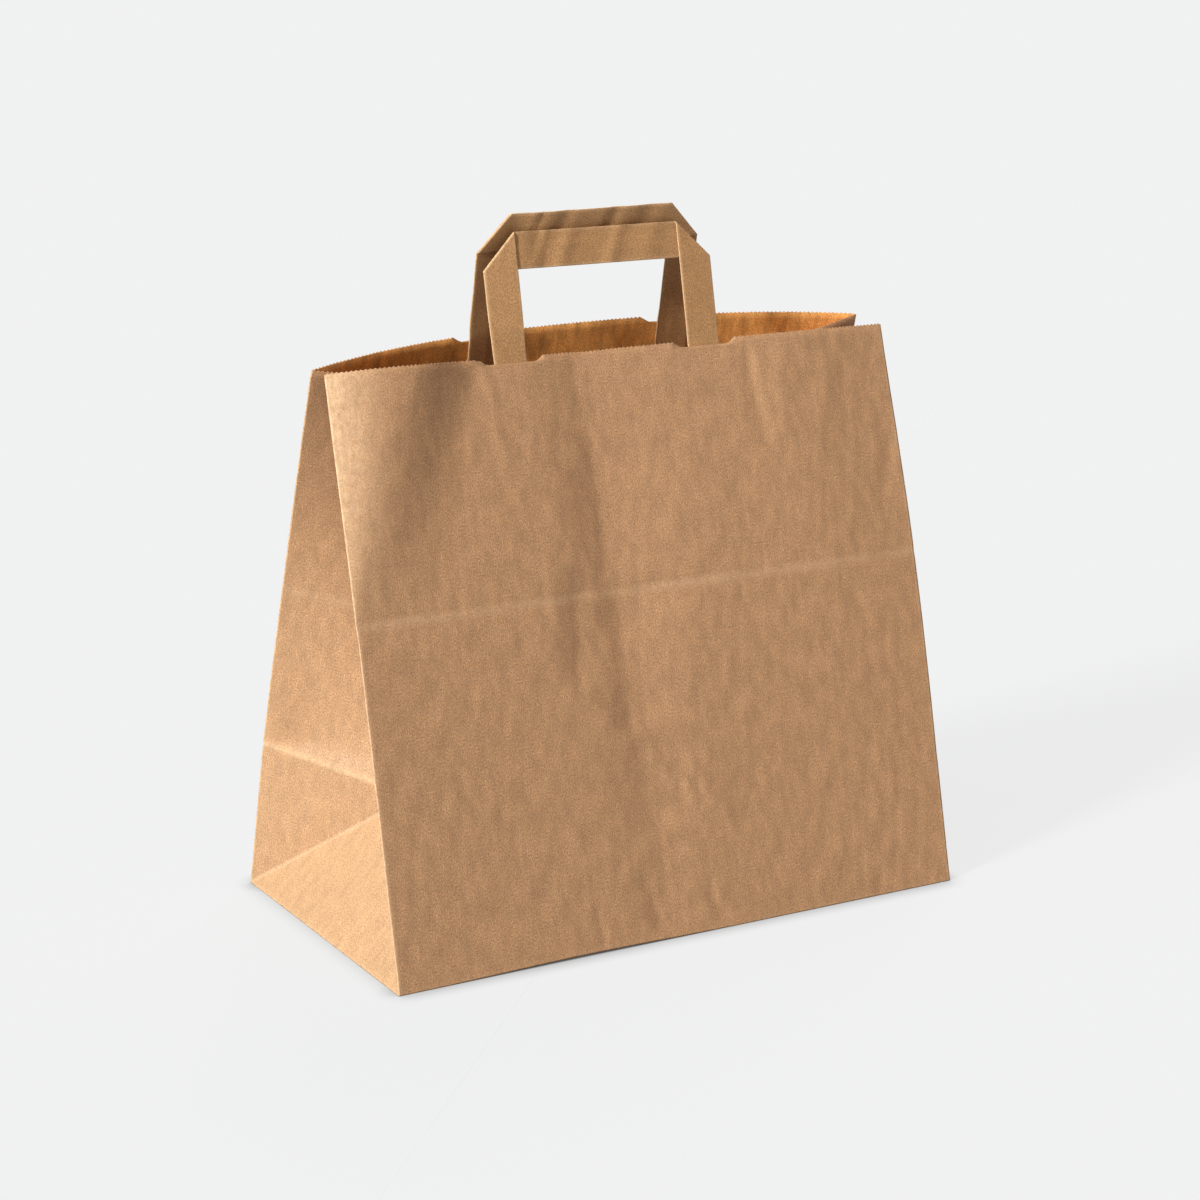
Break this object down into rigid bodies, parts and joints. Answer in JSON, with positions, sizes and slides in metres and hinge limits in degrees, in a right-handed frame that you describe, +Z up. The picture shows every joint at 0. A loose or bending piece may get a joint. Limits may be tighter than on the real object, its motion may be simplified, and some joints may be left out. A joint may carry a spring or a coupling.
{
  "type": "paper carrier bag with flat handles",
  "caption": "Block-bottom kraft paper bag with side gussets and flat folded-paper handles, standing with its mouth drawn nearly shut.",
  "frame": {"origin": "centre of the bounding box's underside, on the surface the bag stands on", "axes": "+X to the right along the wide front panel, +Y from the front panel to the back panel, +Z up towards the handles"},
  "size_m": [0.3222, 0.1652, 0.3444],
  "materials": {
    "bag": "uncoated brown kraft with fine vertical fibres",
    "handle": "uncoated brown kraft, folded flat strip",
    "patch": "uncoated brown kraft, glued flat"
  },
  "bodies": {
    "root": {"bag_body": "bag", "front_handle": "handle", "back_handle": "handle", "front_handle_patch": "patch", "back_handle_patch": "patch"}
  },
  "joints": []
}
